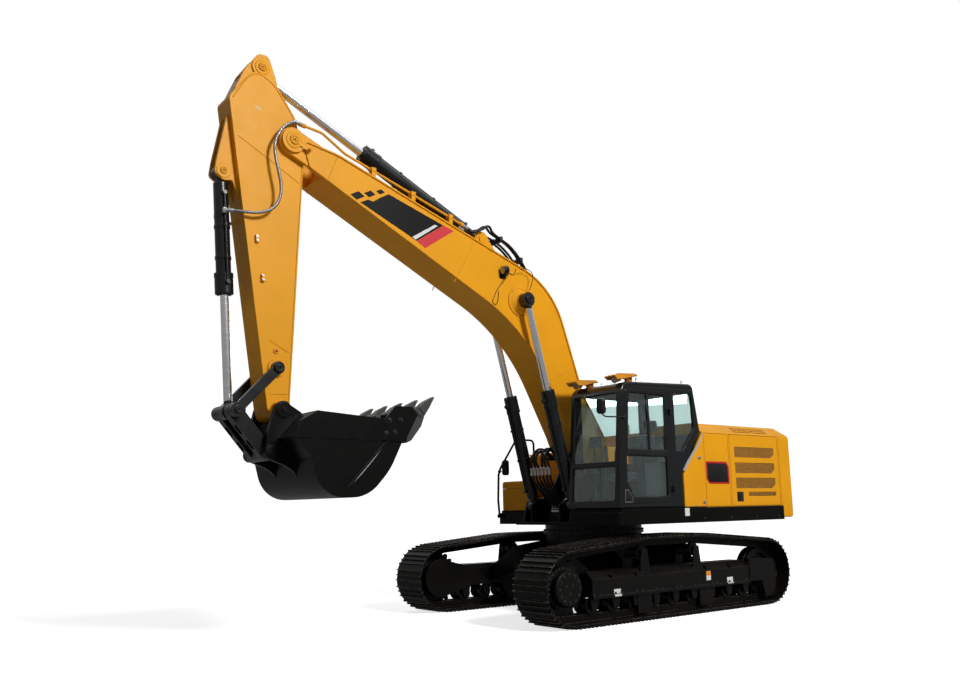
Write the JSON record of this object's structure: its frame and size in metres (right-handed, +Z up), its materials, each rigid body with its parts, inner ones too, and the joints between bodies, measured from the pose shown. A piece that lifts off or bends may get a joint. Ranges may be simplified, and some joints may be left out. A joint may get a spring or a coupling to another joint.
{
  "type": "crawler excavator",
  "caption": "Crawler excavator with a turning upper structure, cab, two-piece working arm and curled digging bucket, standing on fixed steel tracks.",
  "frame": {"origin": "on the ground under the middle of the machine's bounding box", "axes": "+X forward towards the bucket, +Y to the machine's left (the cab side), +Z up"},
  "size_m": [9.1374, 3.19, 6.85],
  "materials": {
    "paint": "gloss golden-yellow enamel",
    "counterweight_paint": "enamel on casting",
    "dark_steel": "satin near-black enamel",
    "track_steel": "worn dark forged steel",
    "ring_steel": "greased machined steel",
    "engine_iron": "painted casting",
    "exhaust_steel": "bare steel tube",
    "cab_paint": "satin dark grey enamel",
    "window_glass": "green tinted",
    "seat_fabric": "woven cloth over foam",
    "trim": "grained",
    "lamp": "moulded",
    "black_moulding": "moulded over sheet steel",
    "chrome_rod": "hard chrome, ground",
    "tooth_steel": "forged"
  },
  "bodies": {
    "undercarriage": {"car_body": "dark_steel", "slew_ring": "ring_steel", "left_track": "track_steel", "right_track": "track_steel", "left_sprocket": "dark_steel", "right_sprocket": "dark_steel", "left_idler": "dark_steel", "right_idler": "dark_steel", "left_rollers": "dark_steel", "right_rollers": "dark_steel", "left_track_frame": "dark_steel", "right_track_frame": "dark_steel"},
    "upper": {"swing_frame": "dark_steel", "left_deck": "dark_steel", "right_deck": "dark_steel", "counterweight": "counterweight_paint", "engine_housing": "paint", "engine_block": "engine_iron", "exhaust_stub": "exhaust_steel", "fuel_tank": "paint", "hydraulic_tank": "paint", "tool_box": "paint", "cab_shell": "cab_paint", "cab_glass": "window_glass", "seat": "seat_fabric", "consoles": "trim", "monitor": "trim", "roof_lamps": "lamp", "right_rail": "dark_steel", "cab_mirror": "black_moulding"},
    "cab_door": {"cab_door": "cab_paint", "door_glass": "window_glass"},
    "left_front_door": {"left_front_door": "paint"},
    "left_rear_door": {"left_rear_door": "paint"},
    "right_rear_door": {"right_rear_door": "paint"},
    "engine_lid": {"engine_lid": "paint"},
    "tool_box_lid": {"tool_box_lid": "paint"},
    "boom": {"boom": "paint", "boom_pipes": "paint", "boom_lamp": "black_moulding"},
    "boom_cylinder_barrels": {"boom_cylinder_barrels": "dark_steel"},
    "boom_cylinder_rods": {"boom_cylinder_rods": "chrome_rod"},
    "arm_cylinder_barrel": {"arm_cylinder_barrel": "dark_steel"},
    "arm_cylinder_rod": {"arm_cylinder_rod": "chrome_rod"},
    "arm": {"arm": "paint"},
    "bucket_cylinder_barrel": {"bucket_cylinder_barrel": "dark_steel"},
    "bucket_cylinder_rod": {"bucket_cylinder_rod": "chrome_rod"},
    "guide_links": {"guide_links": "dark_steel"},
    "h_link": {"h_link": "dark_steel"},
    "bucket": {"bucket": "dark_steel", "bucket_teeth": "tooth_steel"}
  },
  "joints": [
    {"name": "swing", "type": "hinge", "parent": "undercarriage", "child": "upper", "pos_m": [-1.36, 0, 1.19], "axis": [0, 0, 1], "continuous": true},
    {"name": "boom_lift", "type": "hinge", "parent": "upper", "child": "boom", "pos_m": [-1.21, 0, 1.86], "axis": [0, -1, 0], "range_deg": [-75, 23]},
    {"name": "arm_swing", "type": "hinge", "parent": "boom", "child": "arm", "pos_m": [3.656, 0, 5.81], "axis": [0, 1, 0], "range_deg": [-95, 15]},
    {"name": "bucket_curl", "type": "hinge", "parent": "arm", "child": "bucket", "pos_m": [3.761, 0, 2.585], "axis": [0, 1, 0], "range_deg": [-125, 30]},
    {"name": "cab_door_hinge", "type": "hinge", "parent": "upper", "child": "cab_door", "pos_m": [-1.445, 1.48, 2.2], "axis": [0, 0, 1], "range_deg": [0, 160]},
    {"name": "left_front_door_hinge", "type": "hinge", "parent": "upper", "child": "left_front_door", "pos_m": [-2.7125, 1.45, 1.9], "axis": [0, 0, 1], "range_deg": [0, 110]},
    {"name": "left_rear_door_hinge", "type": "hinge", "parent": "upper", "child": "left_rear_door", "pos_m": [-3.9315, 1.45, 1.9], "axis": [0, 0, 1], "range_deg": [0, 110]},
    {"name": "right_rear_door_hinge", "type": "hinge", "parent": "upper", "child": "right_rear_door", "pos_m": [-3.9315, -1.45, 1.9], "axis": [0, 0, -1], "range_deg": [0, 110]},
    {"name": "engine_lid_hinge", "type": "hinge", "parent": "upper", "child": "engine_lid", "pos_m": [-3.8125, 0, 2.6], "axis": [0, -1, 0], "range_deg": [0, 70]},
    {"name": "tool_box_lid_hinge", "type": "hinge", "parent": "upper", "child": "tool_box_lid", "pos_m": [-1.065, -0.7, 1.737], "axis": [-1, 0, 0], "range_deg": [0, 80]},
    {"name": "boom_cylinder_tilt", "type": "hinge", "parent": "upper", "child": "boom_cylinder_barrels", "pos_m": [-0.59, 0, 1.45], "axis": [0, -1, 0], "range_deg": [-79.7, 25.85]},
    {"name": "boom_cylinder_stroke", "type": "slide", "parent": "boom_cylinder_barrels", "child": "boom_cylinder_rods", "axis": [0.2553, 0, 0.9669], "range_m": [-0.8643, 0.28032]},
    {"name": "arm_cylinder_tilt", "type": "hinge", "parent": "boom", "child": "arm_cylinder_barrel", "pos_m": [0.71, 0, 5.13], "axis": [0, 1, 0], "range_deg": [-5.01, 0.89]},
    {"name": "arm_cylinder_stroke", "type": "slide", "parent": "arm_cylinder_barrel", "child": "arm_cylinder_rod", "axis": [0.9061, 0, 0.4232], "range_m": [-1.4073, 0.24903]},
    {"name": "bucket_cylinder_tilt", "type": "hinge", "parent": "arm", "child": "bucket_cylinder_barrel", "pos_m": [4.445, 0, 5.316], "axis": [0, 1, 0], "range_deg": [-4.27, 1.1]},
    {"name": "bucket_cylinder_stroke", "type": "slide", "parent": "bucket_cylinder_barrel", "child": "bucket_cylinder_rod", "axis": [-0.0559, 0, -0.9984], "range_m": [-0.9818, 0.25369]},
    {"name": "guide_link_swing", "type": "hinge", "parent": "arm", "child": "guide_links", "pos_m": [3.805, 0, 3.067], "axis": [0, 1, 0], "range_deg": [-92.91, 24.01]},
    {"name": "h_link_swing", "type": "hinge", "parent": "guide_links", "child": "h_link", "pos_m": [4.291, 0, 2.563], "axis": [0, 1, 0], "range_deg": [-16.51, 63.9]}
  ],
  "couplings": [
    {"joint": "boom_cylinder_tilt", "follows": "boom_lift", "ratio": 1.0356},
    {"joint": "boom_cylinder_stroke", "follows": "boom_lift", "m_per_rad": 0.64346},
    {"joint": "arm_cylinder_tilt", "follows": "arm_swing", "ratio": 0.051579},
    {"joint": "arm_cylinder_stroke", "follows": "arm_swing", "m_per_rad": 0.82955},
    {"joint": "bucket_cylinder_tilt", "follows": "bucket_curl", "ratio": 0.0333},
    {"joint": "bucket_cylinder_stroke", "follows": "bucket_curl", "m_per_rad": 0.43913},
    {"joint": "guide_link_swing", "follows": "bucket_curl", "ratio": 0.72525},
    {"joint": "h_link_swing", "follows": "bucket_curl", "ratio": -0.49885}
  ]
}
